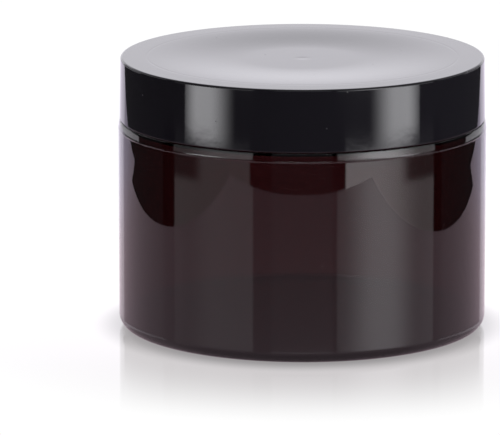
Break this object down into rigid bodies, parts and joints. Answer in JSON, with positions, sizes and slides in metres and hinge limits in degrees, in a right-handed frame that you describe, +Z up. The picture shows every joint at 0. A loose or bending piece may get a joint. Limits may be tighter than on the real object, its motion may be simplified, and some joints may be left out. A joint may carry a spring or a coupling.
{
  "type": "cosmetic cream jar",
  "caption": "Wide low cosmetic jar in dark amber clear plastic, with a smooth black screw lid, a foam liner and a threaded neck.",
  "frame": {"origin": "centre of the base, on the surface that the jar stands on", "axes": "+Z up along the jar's axis; the jar is round, so +X and -Y are free choices, with -Y facing the viewer"},
  "size_m": [0.0932, 0.0932, 0.0691],
  "materials": {
    "amber_pet": "clear dark amber, polished",
    "black_lid_plastic": "smooth gloss",
    "liner_foam": "white foam with a thin skin"
  },
  "bodies": {
    "jar": {"jar_body": "amber_pet"},
    "liner": {"cap_liner": "liner_foam"},
    "cap": {"screw_cap": "black_lid_plastic"}
  },
  "joints": [
    {"name": "cap_lift", "type": "slide", "parent": "jar", "child": "liner", "axis": [0, 0, 1], "range_m": [0, 0.01525]},
    {"name": "cap_turn", "type": "hinge", "parent": "liner", "child": "cap", "pos_m": [0, 0, 0.05], "axis": [0, 0, 1], "range_deg": [0, 1080]}
  ],
  "couplings": [
    {"joint": "cap_lift", "follows": "cap_turn", "m_per_rad": 0.00080851}
  ]
}
